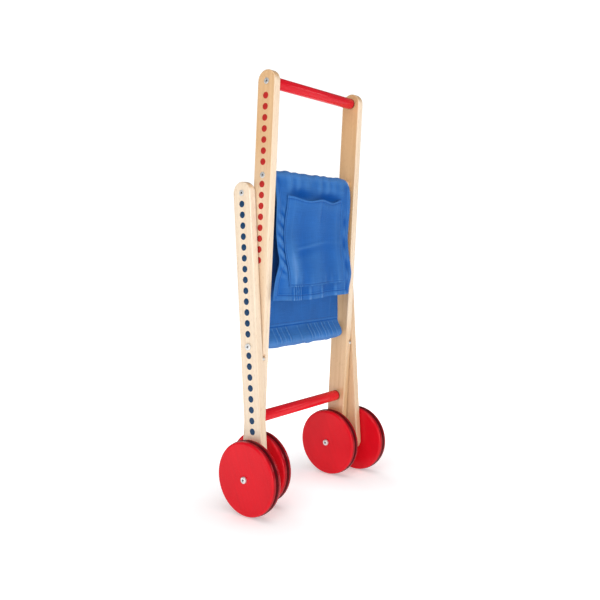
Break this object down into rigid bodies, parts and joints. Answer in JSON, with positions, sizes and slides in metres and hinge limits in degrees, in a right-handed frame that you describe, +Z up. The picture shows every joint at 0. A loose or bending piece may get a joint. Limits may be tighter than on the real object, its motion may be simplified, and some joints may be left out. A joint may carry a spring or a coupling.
{
  "type": "toy shopping trolley",
  "caption": "Folding wooden toy shopping trolley with crossed legs, rubber-tyred disc wheels, a handle rod and a hanging cloth bag with a pocket flap, shown folded.",
  "frame": {"origin": "on the floor, at the middle of the folded trolley's footprint", "axes": "+X to the right for the child who pushes it, +Y the way it is pushed, +Z up"},
  "size_m": [0.265, 0.114, 0.5567],
  "materials": {
    "beech": "clear satin lacquer on pale wood",
    "red_paint": "satin red paint on wood",
    "tyre": "matt black rubber",
    "steel": "zinc plated",
    "nylon": "natural nylon",
    "blue_cloth": "woven cotton"
  },
  "bodies": {
    "handle_frame": {"long_leg_left": "beech", "long_leg_right": "beech", "handle_rod": "red_paint", "crossbar": "red_paint", "rear_bag_rod": "beech", "handle_screw_left": "steel", "handle_screw_right": "steel", "crossbar_screw_left": "steel", "crossbar_screw_right": "steel", "rear_rod_screw_left": "steel", "rear_rod_screw_right": "steel", "pivot_bolt_left": "steel", "pivot_bolt_right": "steel", "pivot_washer_left": "nylon", "pivot_washer_right": "nylon", "nut_washer_left": "nylon", "nut_washer_right": "nylon", "pivot_nut_left": "steel", "pivot_nut_right": "steel", "front_wheel_left_axle": "steel", "front_wheel_left_spacer": "nylon", "front_wheel_right_axle": "steel", "front_wheel_right_spacer": "nylon", "pocket_flap": "blue_cloth", "flap_pocket": "blue_cloth", "bag_rear_panel": "blue_cloth", "bag_bottom": "blue_cloth"},
    "short_frame": {"short_leg_left": "beech", "short_leg_right": "beech", "front_bag_rod": "beech", "front_rod_screw_left": "steel", "front_rod_screw_right": "steel", "stop_pin_left": "steel", "stop_pin_right": "steel", "rear_wheel_left_axle": "steel", "rear_wheel_left_spacer": "nylon", "rear_wheel_right_axle": "steel", "rear_wheel_right_spacer": "nylon", "bag_front_panel": "blue_cloth"},
    "front_left_wheel": {"front_wheel_left": "red_paint", "front_wheel_left_tyre": "tyre"},
    "front_right_wheel": {"front_wheel_right": "red_paint", "front_wheel_right_tyre": "tyre"},
    "rear_left_wheel": {"rear_wheel_left": "red_paint", "rear_wheel_left_tyre": "tyre"},
    "rear_right_wheel": {"rear_wheel_right": "red_paint", "rear_wheel_right_tyre": "tyre"}
  },
  "joints": [
    {"name": "fold", "type": "hinge", "parent": "handle_frame", "child": "short_frame", "pos_m": [0, 0, 0.21007], "axis": [-1, 0, 0], "range_deg": [0, 45], "deforming": ["bag_bottom"]},
    {"name": "front_left_roll", "type": "hinge", "parent": "handle_frame", "child": "front_left_wheel", "pos_m": [-0.077, 0.00967, 0.04735], "axis": [1, 0, 0], "continuous": true},
    {"name": "front_right_roll", "type": "hinge", "parent": "handle_frame", "child": "front_right_wheel", "pos_m": [0.077, 0.00967, 0.04735], "axis": [1, 0, 0], "continuous": true},
    {"name": "rear_left_roll", "type": "hinge", "parent": "short_frame", "child": "rear_left_wheel", "pos_m": [-0.1212, -0.00967, 0.04735], "axis": [1, 0, 0], "continuous": true},
    {"name": "rear_right_roll", "type": "hinge", "parent": "short_frame", "child": "rear_right_wheel", "pos_m": [0.1212, -0.00967, 0.04735], "axis": [1, 0, 0], "continuous": true}
  ]
}
